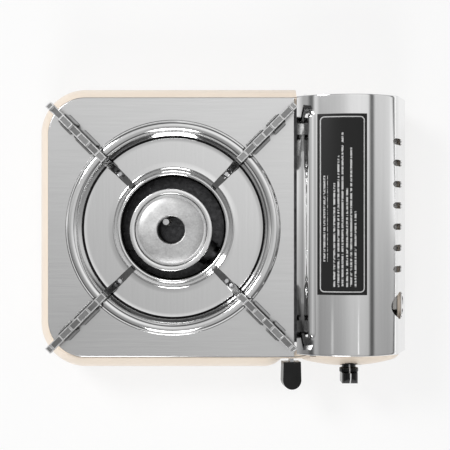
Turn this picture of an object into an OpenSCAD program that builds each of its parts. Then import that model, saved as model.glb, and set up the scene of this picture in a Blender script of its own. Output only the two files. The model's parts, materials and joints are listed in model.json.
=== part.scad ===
// Compact butane cassette stove: painted body, stainless top plate, drip dish with four pan arms,
// cast burner, and a domed lid over the cartridge bay. Millimetres, +Z up, +Y to the rear, +X to
// the cartridge bay; the origin is the middle of the footprint, on the surface it stands on.

/* [Body] */
// Overall width at the body's widest line
body_w = 302; // [301.6:0.2:302.4]
// Overall depth, rear wall to the end of the lock lever
overall_d = 246.8; // [246.6:0.2:247]
// Height of the body's widest line
belt_z = 35; // [34:0.5:36]
// Height of the flange that the top plate lies on
flange_z = 58; // [57.5:0.5:58]
// Plan radius of the two corners on the burner side
corner_r = 37.5; // [34:0.5:40]
// Height of the rubber feet
foot_h = 6; // [5.5:0.5:6]

/* [Top plate and drip dish] */
// Left edge of the top plate, measured in from the body's left side
plate_in = 9.4; // [8.6:0.2:10]
// Height of the top plate's upper face
plate_z = 61; // [60.8:0.1:61]
// Outer radius of the drip dish's bead
dish_r = 88; // [86:0.5:88]
// Height of the drip dish's floor
dish_floor_z = 53.2; // [52.6:0.2:54]

/* [Burner] */
// Outer radius of the flame ring
ring_r = 33.2; // [32.5:0.1:34]
// Outer radius of the cast burner cap
cap_r = 29; // [28:0.5:29]
// Radius of the well in the middle of the burner
well_r = 10.8; // [10.4:0.2:11]

/* [Pan arms] */
// Height at which a pan stands
pan_z = 88; // [87:0.5:89]
// Radius from the dish's middle to the arm tips
arm_tip_r = 137.5; // [136:0.5:138]
// Width of an arm
arm_w = 5.6; // [5.6:0.2:6.2]

/* [Lid] */
// Height of the lid's crown
lid_top_z = 86; // [85.5:0.5:86]
// Front edge of the lid
lid_y0 = -93; // [-93:0.5:-92]
// Rear edge of the lid
lid_y1 = 114.7; // [114.5:0.1:114.8]
// Number of vent slots
vent_count = 7; // [5:1:7]

/* [Controls] */
// X of the cartridge, regulator and knob axis
axis_x = 104; // [103.8:0.1:104]
// Height of that axis
axis_z = 44; // [43.8:0.1:44]
// Radius of the lock lever's handle about that axis
lever_r = 48.6; // [48.2:0.2:49]

/* [Hidden] */
$fn = 96;

// Sheet thicknesses
sheet = 0.8;
wall = 1;

// Body outline at the widest line
half_w = body_w / 2;
rear_y = overall_d / 2;
front_y = -106.5;
bay_rear_y = 118.4;
bay_front_y = -105.9;
bay_right_x = half_w - 2.4;
corner_x = -half_w + corner_r;
side_y0 = front_y + corner_r;
side_y1 = rear_y - corner_r;
upper_r = 34;     // wall's curve above the belt
lower_r = 70;     // wall's curve below the belt
shoulder_in = upper_r - sqrt(pow(upper_r, 2) - pow(flange_z - belt_z, 2));
flange_w = 8;
recess_y = -97.6;
recess_x0 = 38;
nose_r = 20;      // rounded end of the burner side's front wall
nose_x = 34;
bulge_r = 140;    // the bay's bowed front
bulge_x = 103;
bulge_y = bay_front_y + bulge_r;
bay_corner_r = 12;
seam_a = 0.02;    // half seam between the bay's front and its corners, as an angle
bay_left_x = 60;
bay_left_cx = bay_left_x + bay_corner_r;
bay_left_cy = bulge_y - sqrt(pow(bulge_r - bay_corner_r, 2) - pow(bulge_x - bay_left_cx, 2));
bay_right_cx = bay_right_x - bay_corner_r;
bay_front_cy = bulge_y - sqrt(pow(bulge_r - bay_corner_r, 2) - pow(bay_right_cx - bulge_x, 2));
bay_left_a = atan2(bay_left_cy - bulge_y, bay_left_cx - bulge_x);
bay_right_a = atan2(bay_front_cy - bulge_y, bay_right_cx - bulge_x);
side_top_z = 52;  // the right wall is lower, behind the lid's skirt
pan_in = 7.5;     // bottom pan's edge, inside the wall's lower edge

// Top plate outline
plate_x0 = -half_w + plate_in;
plate_x1 = 58;
plate_y0 = -96;
plate_y1 = 114.2;
plate_corner_r = 30;
plate_hem_z = flange_z + 0.1;

// Drip dish and burner centres
dish_x = -40.4;
dish_y = 8.9;
burner_x = dish_x - 1.5;
burner_y = dish_y - 2;
dish_hole_r = 82;
dish_open_r = 41.3;
electrode_x = burner_x - 4.4;
electrode_y = burner_y + 6.6;
bowl_z = 21.5;
chimney_r = 11;   // air tube up the middle of the burner
shield_z = 11;
standoff_xy = [[-44, -30], [-44, 30], [44, -30], [44, 30]];

// Lid section: left arc, crown arc, shoulder bend and straight skirt share tangents
lid_x0 = 60.6;
lid_x1 = 151;
lid_crown_x = 103;
lid_left_r = 66;
lid_crown_r = 54;
lid_left_cz = lid_top_z - lid_left_r;
lid_crown_cz = lid_top_z - lid_crown_r;
shoulder_a = 47.5;   // angle of the crown's normal above the horizontal where the bend starts
shoulder_r = 6;
shoulder_x = lid_crown_x + (lid_crown_r - shoulder_r) * cos(shoulder_a);
shoulder_z = lid_crown_cz + (lid_crown_r - shoulder_r) * sin(shoulder_a);
skirt_a = 19;   // angle of the skirt's normal above the horizontal
lid_hem_z = 62.5;
skirt_x = shoulder_x + shoulder_r * cos(skirt_a);
skirt_z = shoulder_z + shoulder_r * sin(skirt_a);
skirt_len = (lid_x1 - skirt_x) / sin(skirt_a);
skirt_low_x = skirt_x + skirt_len * sin(skirt_a);
skirt_low_z = skirt_z - skirt_len * cos(skirt_a);
lid_cap_z = 60;
hinge_y = 115;
hinge_z = 57;
hinge_pin_r = 1.2;
hinge_xs = [66, 124];
vent_z0 = 56;
vent_z1 = 74.7;
vent_w = 5.2;
vent_y0 = -24.5;
vent_pitch = 17.05;
finger_y = -54;
finger_w = 21.8;
finger_z0 = 48.7;
finger_z1 = 75.9;
bead_x = 69.1;
bead_w = 8.8;
bead_h = 1.6;
bead_y0 = -80.4;
bead_y1 = 101.6;
label_x0 = 75;
label_x1 = 113.9;
label_y0 = -44.4;
label_y1 = 99;
label_t = 0.3;

// Gas train, along the line from the regulator to the burner
train_z = 36;
reg_y = -86;
train_a = atan2(burner_y - reg_y, burner_x - axis_x);
train_len = sqrt(pow(burner_x - axis_x, 2) + pow(burner_y - reg_y, 2));
nose_y = -76;
can_r = 34;
cover_y = -83.5;
bracket_y = -89.5;
lever_y = -93.6;  // rear face of the lock lever's plate
lever_t = 1.6;
fork_y = -68;

// Lock lever and knob
lever_rest_a = 172;
handle_w = 14.6;
handle_t = 11;
knob_y0 = -106.6;
knob_y1 = -118.6;

// Screws that hold the top plate to the body's flange
plate_screw_xy = [[-half_w + 13, 10], [-60, rear_y - 13], [20, rear_y - 13], [-60, front_y + 13],
                  [10, front_y + 13]];

// 2D: rectangle with four round corners
module round_rect(x0, y0, x1, y1, r) {
  translate([x0 + r, y0]) square([x1 - x0 - 2 * r, y1 - y0]);
  translate([x0, y0 + r]) square([x1 - x0, y1 - y0 - 2 * r]);
  for (x = [x0 + r, x1 - r], y = [y0 + r, y1 - r]) translate([x, y]) circle(r);
}

// 2D: obround between two points on a vertical or horizontal line
module obround(x0, y0, x1, y1, w) {
  r = w / 2;
  for (p = [[x0, y0], [x1, y1]]) translate(p) circle(r);
  if (x0 == x1) translate([x0 - r, y0]) square([w, y1 - y0]);
  else translate([x0, y0 - r]) square([x1 - x0, w]);
}

// Extrudes a section drawn in X and Z from y0 to y1
module along_y(y0, y1) {
  translate([0, y1, 0]) rotate([90, 0, 0]) linear_extrude(y1 - y0) children();
}

// Extrudes a section drawn in Y and Z from x0 to x1
module along_x(x0, x1) {
  translate([x0, 0, 0]) rotate([90, 0, 90]) linear_extrude(x1 - x0) children();
}

// Cylinder along Y about the control axis
module axis_cyl(r, y0, y1) {
  translate([axis_x, y1, axis_z]) rotate([90, 0, 0]) cylinder(r = r, h = y1 - y0);
}

// Cylinder along the gas train, t measured from the regulator's middle
module train_cyl(r, t0, t1, fn = 96) {
  translate([axis_x, reg_y, train_z]) rotate([0, 90, train_a]) translate([0, 0, t0])
    cylinder(r = r, h = t1 - t0, $fn = fn);
}

// ---- Body ----

// 2D wall section: r0 is the widest line, top_z where the wall ends, fl the flange's width
module wall_section(r0, top_z, fl) {
  intersection() {
    union() {
      translate([r0 - upper_r, belt_z]) intersection() {
        difference() {
          circle(upper_r);
          circle(upper_r - wall);
        }
        square([upper_r + 2, top_z - belt_z]);
      }
      translate([r0 - lower_r, belt_z]) intersection() {
        difference() {
          circle(lower_r);
          circle(lower_r - wall);
        }
        translate([0, foot_h - belt_z]) square([lower_r + 2, belt_z - foot_h]);
      }
      if (fl > 0) translate([r0 - shoulder_in - fl, top_z - wall]) square([fl, wall]);
    }
    if (r0 > 0) translate([0.4, 0]) square([r0 + 5, 100]);
    else translate([-50, 0]) square([60, 100]);
  }
}

module wall_corner(cx, cy, r, a0, a1, top_z = flange_z, fl = flange_w) {
  translate([cx, cy, 0]) rotate([0, 0, a0]) rotate_extrude(angle = a1 - a0) wall_section(r, top_z, fl);
}

// Straight wall from (x, y), heading along a, with the outside on its right
module wall_run(x, y, a, len, top_z = flange_z, fl = flange_w) {
  translate([x + len * cos(a), y + len * sin(a), 0]) rotate([90, 0, a - 90]) linear_extrude(len)
    wall_section(0, top_z, fl);
}

// Room that the lid's skirt needs, with clearance
module skirt_room() {
  along_y(lid_y0 - 0.6, bay_rear_y + 5)
    polygon([[skirt_x - 1.9, skirt_z], [skirt_low_x - 1.6, skirt_low_z - 1.4], [170, skirt_low_z - 1.4],
             [170, 100], [skirt_x - 1.9, 100]]);
}

module body_shell() color([0.95, 0.89, 0.81]) difference() {
  union() {
    wall_run(-half_w, side_y1, -90, side_y1 - side_y0);
    wall_corner(corner_x, side_y1, corner_r, 90, 180);
    wall_corner(corner_x, side_y0, corner_r, 180, 270);
    wall_run(bay_left_x, rear_y, 180, bay_left_x - corner_x);
    wall_run(corner_x, front_y, 0, nose_x - corner_x);
    wall_corner(nose_x, front_y + nose_r, nose_r, 270, 345);
    // End plate of the burner side's rear wall
    along_x(bay_left_x - wall, bay_left_x) intersection() {
      translate([rear_y - upper_r, belt_z]) circle(upper_r);
      translate([bay_rear_y - 9, belt_z]) square([20, flange_z - belt_z]);
    }
    along_x(bay_left_x - wall, bay_left_x) intersection() {
      translate([rear_y - lower_r, belt_z]) circle(lower_r);
      translate([bay_rear_y - 7, foot_h]) square([20, belt_z - foot_h]);
    }
    // Cartridge side
    wall_run(bay_right_cx, bay_rear_y, 180, bay_right_cx - bay_left_x, flange_z, 0);
    wall_corner(bay_right_cx, bay_rear_y - bay_corner_r, bay_corner_r, 0, 90, flange_z, 0);
    wall_run(bay_right_x, bay_front_cy, 90, bay_rear_y - bay_corner_r - bay_front_cy, side_top_z, 0);
    wall_corner(bay_right_cx, bay_front_cy, bay_corner_r, bay_right_a, 0, flange_z, 0);
    wall_corner(bulge_x, bulge_y, bulge_r, bay_left_a + seam_a, bay_right_a - seam_a, flange_z, 6);
    wall_corner(bay_left_cx, bay_left_cy, bay_corner_r, 180, 360 + bay_left_a, flange_z, 0);
    // Welded straps behind the seams of the bay's front
    for (a = [bay_left_a, bay_right_a]) translate([bulge_x, bulge_y, belt_z - 6]) rotate([0, 0, a])
      translate([bulge_r - 2.2, -3, 0]) cube([1.4, 6, 12]);
    translate([bay_right_x - 2.2, bay_front_cy - 3, belt_z - 6]) cube([1.4, 6, 12]);
    // Flat panel in the recess behind the lock lever
    translate([recess_x0, recess_y, foot_h]) cube([bay_left_cx - recess_x0 - 4, wall, flange_z - foot_h]);
    // Ribs that close the seam between the two sides
    translate([recess_x0, recess_y, flange_z - wall]) cube([bay_left_cx - recess_x0 - 1.3, flange_w, wall]);
  }
  skirt_room();
  // Room for the wall behind the recess panel
  translate([recess_x0 + 10, recess_y + wall, foot_h - 1])
    cube([bay_left_x + 6 - recess_x0 - 10, 14, flange_z - wall - foot_h + 1]);
  // Room for the lock lever's arm, through the corner behind the panel
  translate([bay_left_x, recess_y + 1.2, axis_z - 20]) cube([16, 5, 32]);
  // Slot for the lock lever's neck
  translate([axis_x - lever_r - 3.2, -112, axis_z - 20]) cube([7.4, 20, 31]);
  // Hole for the valve spindle
  axis_cyl(6, -112, -96);
  for (p = plate_screw_xy) translate([p[0], p[1], flange_z - 5]) cylinder(r = 1.6, h = 8);
}

// 2D footprint of the body, inset by t from the widest line
module footprint(t) {
  difference() {
    round_rect(-half_w + t, front_y + t, nose_x + nose_r - t + 20, rear_y - t, corner_r - t);
    translate([nose_x, front_y - 1]) square([100, 20]);
    translate([bay_left_x - t, -150]) square([100, 300]);
  }
  difference() {
    translate([nose_x, front_y + nose_r]) circle(nose_r - t);
    translate([recess_x0 - 0.1, front_y]) square([40, recess_y + wall + 0.1 - front_y]);
  }
  translate([nose_x, recess_y + t + 0.5])
    square([bay_left_x - nose_x + t + 8, bay_rear_y - 2 * t - recess_y - 0.5]);
  difference() {
    intersection() {
      translate([bulge_x, bulge_y]) circle(bulge_r - t);
      round_rect(bay_left_x + t, bay_front_y - 30, bay_right_x - t, bay_rear_y - t, bay_corner_r - t);
    }
    for (p = [[bay_left_x, bay_left_cy], [bay_right_cx, bay_front_cy]]) translate([p[0], -150])
      square([bay_corner_r, 150 + p[1]]);
  }
  for (p = [[bay_left_cx, bay_left_cy], [bay_right_cx, bay_front_cy]]) translate(p) circle(bay_corner_r - t);
}

module bottom_pan() color([0.72, 0.73, 0.74]) difference() {
  translate([0, 0, foot_h]) linear_extrude(sheet) footprint(pan_in);
  // Air slots under the burner
  for (i = [-2:2]) translate([dish_x + i * 14 - 2, dish_y - 70, foot_h - 1]) linear_extrude(3)
    obround(2, 0, 2, 32, 4);
  for (i = [-2:2]) translate([dish_x + i * 14 - 2, dish_y + 38, foot_h - 1]) linear_extrude(3)
    obround(2, 0, 2, 32, 4);
}

// 2D outline of the top plate up to x1, inset by t on the three sides that have a hem
module plate_outline(t, x1) {
  intersection() {
    round_rect(plate_x0 + t, plate_y0 + t, plate_x1 + 60, plate_y1 - t, plate_corner_r - t);
    translate([plate_x0, plate_y0]) square([x1 - plate_x0, plate_y1 - plate_y0]);
  }
}

module top_plate() color([0.76, 0.76, 0.77]) difference() {
  translate([0, 0, plate_hem_z]) linear_extrude(plate_z - plate_hem_z)
    plate_outline(0, plate_x1);
  translate([0, 0, plate_hem_z - 1]) linear_extrude(plate_z - sheet - plate_hem_z + 1)
    plate_outline(sheet, plate_x1 + 1);
  translate([dish_x, dish_y, 50]) cylinder(r = dish_hole_r, h = 20);
}

// Wall between the burner side and the cartridge bay, with a flange under the plate
module bay_partition() color([0.72, 0.73, 0.74]) difference() {
  union() {
    translate([62, -84, foot_h + sheet]) cube([sheet, 190, flange_z + 2 - foot_h - sheet]);
    translate([51, -84, flange_z + 2 - sheet]) cube([11.8, 190, sheet]);
    translate([62, -84, foot_h + sheet]) cube([10, 190, sheet]);
  }
  train_cyl(9.2, 30, 70);
  // Hole for the spark lead
  translate([58, -56, 9.6]) rotate([0, 90, 0]) cylinder(r = 1.9, h = 10);
}

// Cradle: base strip, two saddles and the bay's right-hand liner with its flange
module cradle_saddle(y) {
  difference() {
    translate([76, y, foot_h + sheet]) cube([56, 1.5, 13]);
    axis_cyl(can_r + 0.6, y - 1, y + 3);
  }
}

module cartridge_cradle() color([0.93, 0.9, 0.85]) {
  translate([76, -58, foot_h + sheet]) cube([63.6, 160, sheet]);
  for (y = [-36, 72]) cradle_saddle(y);
  translate([138.8, -58, foot_h + sheet]) cube([sheet, 160, 54 - foot_h - sheet]);
  translate([138.8, -58, 54 - sheet]) cube([3.2, 160, sheet]);
}

// ---- Burner ----

module burner_shield() color([0.6, 0.61, 0.62]) difference() {
  translate([dish_x, dish_y, 0]) union() {
    translate([0, 0, shield_z]) rotate_extrude() polygon([
      [0, 0], [62, 0], [72, 8], [72, 9], [61.6, 1], [0, 1]]);
    // Standoffs on the bottom pan
    for (p = standoff_xy) translate([p[0], p[1], foot_h + sheet])
      cylinder(r = 4, h = shield_z + 1 - foot_h - sheet);
  }
  translate([electrode_x, electrode_y, shield_z - 1]) cylinder(r = 3, h = 3);
}

// Bridge on the shield that carries the burner, with a strip that holds the insulator
module burner_bracket() color([0.66, 0.67, 0.68]) difference() {
  union() {
    difference() {
      translate([burner_x - 46, burner_y - 17, bowl_z - 1.5]) cube([92, 34, 1.5]);
      translate([burner_x, burner_y, bowl_z - 3]) cylinder(r = chimney_r + 1, h = 6);
    }
    for (x = [burner_x - 46, burner_x + 44.5]) translate([x, burner_y - 17, shield_z + 1])
      cube([1.5, 34, bowl_z - shield_z - 2]);
    for (x = [burner_x - 56, burner_x + 44.5]) translate([x, burner_y - 17, shield_z + 1])
      cube([11.5, 34, 1.5]);
    translate([burner_x - 13, electrode_y - 3.6, bowl_z - 1.5]) cube([26, 7.2, 1.5]);
  }
  translate([electrode_x, electrode_y, bowl_z - 3]) cylinder(r = 2.45, h = 6);
}

module burner_bowl() color([0.62, 0.62, 0.62]) difference() {
  union() {
    translate([burner_x, burner_y, 0]) rotate_extrude() polygon([
      [chimney_r, bowl_z], [20, bowl_z], [27, 28], [27, 46], [31, 56], [31, 60], [28.4, 60], [28.4, 56.6],
      [24, 46.6], [24, 30], [19, bowl_z + 3], [chimney_r + 2, bowl_z + 3], [chimney_r + 2, 58],
      [chimney_r, 58]]);
    difference() {
      train_cyl(10.5, train_len - 38, train_len - 23);
      translate([burner_x, burner_y, 0]) cylinder(r = 24, h = 70);
    }
  }
  train_cyl(8.55, train_len - 39, train_len - 18);
}

module flame_ring() color([0.88, 0.88, 0.88]) translate([burner_x, burner_y, 0]) difference() {
  rotate_extrude() union() {
    translate([29.3, 60.1]) square([ring_r - 29.3, 4]);
    translate([(29.3 + ring_r) / 2, 64.1]) circle((ring_r - 29.3) / 2);
  }
  // Flame ports round the rim
  for (a = [0:15:345]) rotate([0, 0, a]) translate([25, -0.8, 61.2]) cube([12, 1.6, 2]);
}

module burner_cap() color([0.68, 0.68, 0.67]) translate([burner_x, burner_y, 0]) rotate_extrude() polygon([
  [well_r + 0.4, 58.1], [cap_r - 0.4, 60.2], [cap_r, 60.8], [cap_r, 63.6], [cap_r - 0.8, 64.4],
  [20, 65.4], [well_r + 1.4, 65.8], [well_r, 65], [well_r, 58.6]]);

module mixing_tube() color([0.7, 0.7, 0.7]) difference() {
  union() {
    train_cyl(8.5, 58, train_len - 26);
    train_cyl(8.9, 54, 60);
  }
  train_cyl(7.5, 57, train_len - 20);
  train_cyl(7.9, 50, 57.2);
  // Primary air windows
  for (a = [90, 270]) translate([axis_x, reg_y, train_z]) rotate([0, 90, train_a]) translate([0, 0, 66])
    rotate([0, 0, a]) translate([0, -3.5, -5]) cube([20, 7, 10]);
}

module air_shutter() color([0.78, 0.72, 0.45]) difference() {
  train_cyl(9.4, 72, 82);
  train_cyl(8.55, 70, 84);
  translate([axis_x, reg_y, train_z]) rotate([0, 90, train_a]) translate([0, 0, 74])
    rotate([0, 0, 90]) translate([0, -2, -5]) cube([20, 4, 8]);
}

module gas_jet() color([0.8, 0.66, 0.3]) difference() {
  union() {
    train_cyl(5, 47.4, 53, 6);
    train_cyl(3.6, 53, 57);
  }
  train_cyl(0.6, 46, 58);
  train_cyl(2, 45, 55);
}

module gas_pipe() color([0.75, 0.6, 0.35]) difference() {
  train_cyl(2.5, 19.4, 47.2);
  train_cyl(1.6, 18, 50);
}

module pipe_nuts() color([0.8, 0.66, 0.3]) for (t = [19.6, 41]) difference() {
  train_cyl(5, t, t + 6, 6);
  train_cyl(2.55, t - 1, t + 7);
}

// ---- Regulator ----

module regulator_body() color([0.7, 0.69, 0.66]) difference() {
  union() {
    axis_cyl(15, -89.4, -80);
    axis_cyl(9.95, -97, -89.4);
    axis_cyl(9, -80, -78);
    // Ear for the two screws, and the seat of the diaphragm cover
    translate([axis_x - 17, -89.4, axis_z - 15]) cube([34, 3, 8]);
    translate([axis_x, cover_y, axis_z - 15.2]) cylinder(r = 5.8, h = 8);
    difference() {
      train_cyl(5.5, 4, 19.2);
      axis_cyl(12, -96, -86);
      axis_cyl(7.3, -77.95, -70);
    }
  }
  axis_cyl(3.05, -98, -88);
  axis_cyl(2.2, -90, -77);
  train_cyl(1.6, 8, 20);
  for (x = [-12, 12]) translate([axis_x + x, -85, axis_z - 12]) rotate([90, 0, 0]) cylinder(r = 1.6, h = 6);
}

// Round cover under the regulator, with its vent
module regulator_cover() color([0.74, 0.74, 0.74]) difference() {
  union() {
    translate([axis_x, cover_y, axis_z - 18.8]) cylinder(r = 5.8, h = 3.6);
    translate([axis_x, cover_y, axis_z - 21.2]) cylinder(r = 4.2, h = 2.6);
  }
  translate([axis_x, cover_y, axis_z - 30]) cylinder(r = 1.2, h = 12);
}

module regulator_bracket() color([0.72, 0.73, 0.74]) difference() {
  union() {
    translate([80, bracket_y - 1.5, foot_h + sheet]) cube([50, 1.5, 46]);
    translate([80, bracket_y - 1.5, foot_h + sheet]) cube([50, 13, 1.5]);
  }
  axis_cyl(9.97, -93, -88);
  for (x = [-12, 12]) translate([axis_x + x, -88, axis_z - 12]) rotate([90, 0, 0]) cylinder(r = 1.6, h = 6);
}

module regulator_screws() color([0.8, 0.8, 0.8]) for (x = [-12, 12]) translate([axis_x + x, 0, axis_z - 12])
  rotate([90, 0, 0]) {
    translate([0, 0, 91.1]) cylinder(r = 2.8, h = 1.4);
    translate([0, 0, 86]) cylinder(r = 1.55, h = 5.6);
  }

// Socket that the cartridge's valve stem presses into
module valve_nose() color([0.8, 0.66, 0.3]) difference() {
  union() {
    axis_cyl(7, -77.9, nose_y);
    axis_cyl(5.4, nose_y, nose_y + 4);
  }
  axis_cyl(3.2, -77, nose_y + 5);
  axis_cyl(1.2, -79, -76);
}

module nose_seal() color([0.12, 0.12, 0.12]) difference() {
  axis_cyl(7, nose_y + 0.05, nose_y + 2);
  axis_cyl(5.45, nose_y - 1, nose_y + 3);
}

// Rails on the bracket that guide the fork's side arms
module fork_rails() color([0.72, 0.73, 0.74]) for (x = [81, 124]) difference() {
  translate([x, bracket_y, 11]) cube([5, 12, 10]);
  translate([x + 1, bracket_y - 1, 13]) cube([3, 14, 6]);
}

// ---- Ignition ----

module piezo_igniter() color([0.15, 0.15, 0.16]) {
  translate([65, -88, 8.5]) cube([11, 22, 13]);
  translate([70.5, -88, 15]) rotate([90, 0, 0]) cylinder(r = 2.6, h = 4.6);
  translate([70.5, -66.1, 12]) rotate([-90, 0, 0]) cylinder(r = 2.2, h = 2.1);
}

module igniter_clip() color([0.72, 0.73, 0.74]) {
  translate([63.6, -84, 7.65]) cube([13.8, 12, 0.8]);
  for (x = [63.7, 76.1]) translate([x, -84, 7.65]) cube([1.2, 12, 12]);
}

// Insulated lead from the igniter's foot to the electrode under the burner
lead_path = [[70.5, -64, 12], [70.5, -61, 12], [69, -58, 10.8], [65, -56, 9.8], [58, -56, 9.2],
             [44, -62, 8.6], [16, -64, 8.6], [-14, -56, 8.6], [-34, -40, 8.6], [-44, -18, 8.6],
             [electrode_x, electrode_y - 7, 8.2], [electrode_x, electrode_y - 2, 8.2],
             [electrode_x, electrode_y - 0.4, 8.6], [electrode_x, electrode_y - 0.02, 9.2],
             [electrode_x, electrode_y, 9.6]];
lead_r = 1.1;
lead_sides = 8;

// Unit direction of the lead at point i: the mean of the two stretches that meet there
function lead_dir(i) = let (a = lead_path[max(i - 1, 0)], b = lead_path[min(i + 1, len(lead_path) - 1)])
  (b - a) / norm(b - a);

// Ring of points round the lead at point i, square to its direction
function lead_ring(i) =
  let (d = lead_dir(i), side = cross([0, 0, 1], d), s = side / norm(side), u = cross(d, s))
  [for (k = [0:lead_sides - 1]) let (a = 360 * k / lead_sides)
    lead_path[i] + lead_r * (cos(a) * s + sin(a) * u)];

module spark_lead() color([0.85, 0.83, 0.8]) let (n = len(lead_path), m = lead_sides) polyhedron(
  points = [for (i = [0:n - 1]) each lead_ring(i)],
  faces = concat(
    [[for (k = [0:m - 1]) k]],
    [for (i = [0:n - 2], k = [0:m - 1]) each [
      [i * m + k, (i + 1) * m + k, i * m + (k + 1) % m],
      [i * m + (k + 1) % m, (i + 1) * m + k, (i + 1) * m + (k + 1) % m]]],
    [[for (k = [0:m - 1]) (n - 1) * m + m - 1 - k]]));

module electrode_insulator() color([0.93, 0.92, 0.88]) translate([electrode_x, electrode_y, 0]) difference() {
  union() {
    translate([0, 0, 11.2]) cylinder(r = 2.4, h = 44.8);
    translate([0, 0, bowl_z + 0.05]) cylinder(r = 2.8, h = 3);
  }
  translate([0, 0, 10]) cylinder(r = 0.95, h = 50);
}

module spark_electrode() color([0.8, 0.8, 0.8]) translate([electrode_x, electrode_y, 0]) {
  translate([0, 0, 9.65]) cylinder(r = 0.9, h = 47);
  translate([0, 0, 56.2]) cylinder(r = 2.5, h = 1.8);
}

// ---- Hinge and fasteners on the body ----

module hinge_brackets() color([0.72, 0.73, 0.74]) for (x0 = hinge_xs, dx = [0, 7.4]) difference() {
  union() {
    translate([x0 + dx, hinge_y, hinge_z]) rotate([0, 90, 0]) cylinder(r = 2, h = 2.6);
    translate([x0 + dx, hinge_y - 4.8, hinge_z - 0.8]) cube([2.6, 4.8, 1.2]);
  }
  translate([x0 + dx - 1, hinge_y, hinge_z]) rotate([0, 90, 0]) cylinder(r = hinge_pin_r, h = 5);
  wall_run(bay_right_cx, bay_rear_y, 180, bay_right_cx - bay_left_x, flange_z, 0);
}

module hinge_pins() color([0.8, 0.8, 0.8]) for (x0 = hinge_xs) {
  translate([x0 - 0.6, hinge_y, hinge_z]) rotate([0, 90, 0]) cylinder(r = hinge_pin_r, h = 11.2);
}

module plate_screws() color([0.8, 0.8, 0.8]) for (p = plate_screw_xy)
  translate([p[0], p[1], flange_z - wall]) {
    translate([0, 0, -1.9]) cylinder(r = 2.8, h = 1.85);
    translate([0, 0, -0.1]) cylinder(r = 1.5, h = plate_z - sheet - flange_z + wall);
  }

base_screw_xy = [[-128, -60], [-128, 80], [-20, -92], [-20, 108], [70, 104], [130, 60], [130, -50],
                 [66, -70]];
module base_screws() color([0.8, 0.8, 0.8]) for (p = base_screw_xy)
  translate([p[0], p[1], foot_h]) rotate([180, 0, 0]) difference() {
    cylinder(r1 = 3.2, r2 = 2.4, h = 1.6);
    translate([-2.2, -0.4, 0.9]) cube([4.4, 0.8, 2]);
    translate([-0.4, -2.2, 0.9]) cube([0.8, 4.4, 2]);
  }

feet_xy = [[-118, -74], [-118, 92], [122, -70], [122, 90]];
module feet() color([0.1, 0.1, 0.1]) for (p = feet_xy) translate([p[0], p[1], 0]) difference() {
  cylinder(r1 = 9, r2 = 10, h = foot_h);
  translate([0, 0, -1]) cylinder(r = 3.4, h = 3);
}

// ---- Drip dish and pan arms ----

module drip_dish() color([0.74, 0.74, 0.75]) difference() {
  translate([dish_x, dish_y, 0]) rotate_extrude() difference() {
    polygon([
      [dish_open_r, dish_floor_z + 1.4], [dish_open_r, dish_floor_z + 4.2],
      [dish_open_r + 1, dish_floor_z + 5.2], [45.2, dish_floor_z + 5.2], [46.6, dish_floor_z + 4],
      [48.6, dish_floor_z], [74.2, dish_floor_z], [75.4, dish_floor_z - 0.8], [77.6, 58.4], [80.4, 62.8],
      [83, 64.4], [86, 63.9], [dish_r, 61.4], [dish_r - 1, 61.4], [85.4, 63], [83.2, 63.4], [81.2, 62.2],
      [78.4, 58], [76, dish_floor_z - 1.8], [74, dish_floor_z - 1.4], [73.6, dish_floor_z - 0.8],
      [48, dish_floor_z - 0.8], [46, dish_floor_z + 3.6], [44.8, dish_floor_z + 4.4],
      [42.4, dish_floor_z + 4.4], [42.1, dish_floor_z + 4], [42.1, dish_floor_z + 1.4]]);
  }
  // Slots for the arms' tongues
  for (a = [45:90:315]) translate([dish_x, dish_y, 0]) rotate([0, 0, a])
    translate([45.5, -2.6, dish_floor_z + 0.9]) cube([4, 5.2, 2.2]);
  // Rivet holes
  for (a = [45:90:315]) translate([dish_x, dish_y, 0]) rotate([0, 0, a])
    translate([rivet_r, 0, dish_floor_z - 3]) cylinder(r = 1.5, h = 6);
}

// Pan arm: the channel's lower edge, the depth of its castellations, and its steel
arm_low_z = 77.4;
arm_step = 2.8;
arm_t = 1.1;
leg_top_z = 80.4;
leg_foot_z = plate_z + 0.4;
leg_half = 5.8;   // half the width over a pair of legs, at their feet
arm_legs = [[13.9, 25.4], [31.4, 48.3]];
arm_blocks = [[0, 4.2], [14.6, 25.2], [34.4, 44.8], [54.6, 62.4]];
rivet_r = 61.6;   // from the dish's middle to the rivet

// A pair of legs: section across the arm, from r0 to r1
module arm_leg(r0, r1) {
  for (s = [0, 1]) mirror([0, s, 0]) translate([r0, 0, 0]) rotate([90, 0, 90]) linear_extrude(r1 - r0)
    polygon([
      [arm_w / 2 - arm_t, leg_top_z], [arm_w / 2 + 1.2, leg_top_z], [leg_half - 0.6, leg_foot_z + 2.4],
      [leg_half, leg_foot_z], [leg_half - 1, leg_foot_z], [leg_half - 1.6, leg_foot_z + 2.2],
      [arm_w / 2 + 0.3, leg_top_z - 1.2], [arm_w / 2 - arm_t, leg_top_z - 1.2]]);
}

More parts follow.
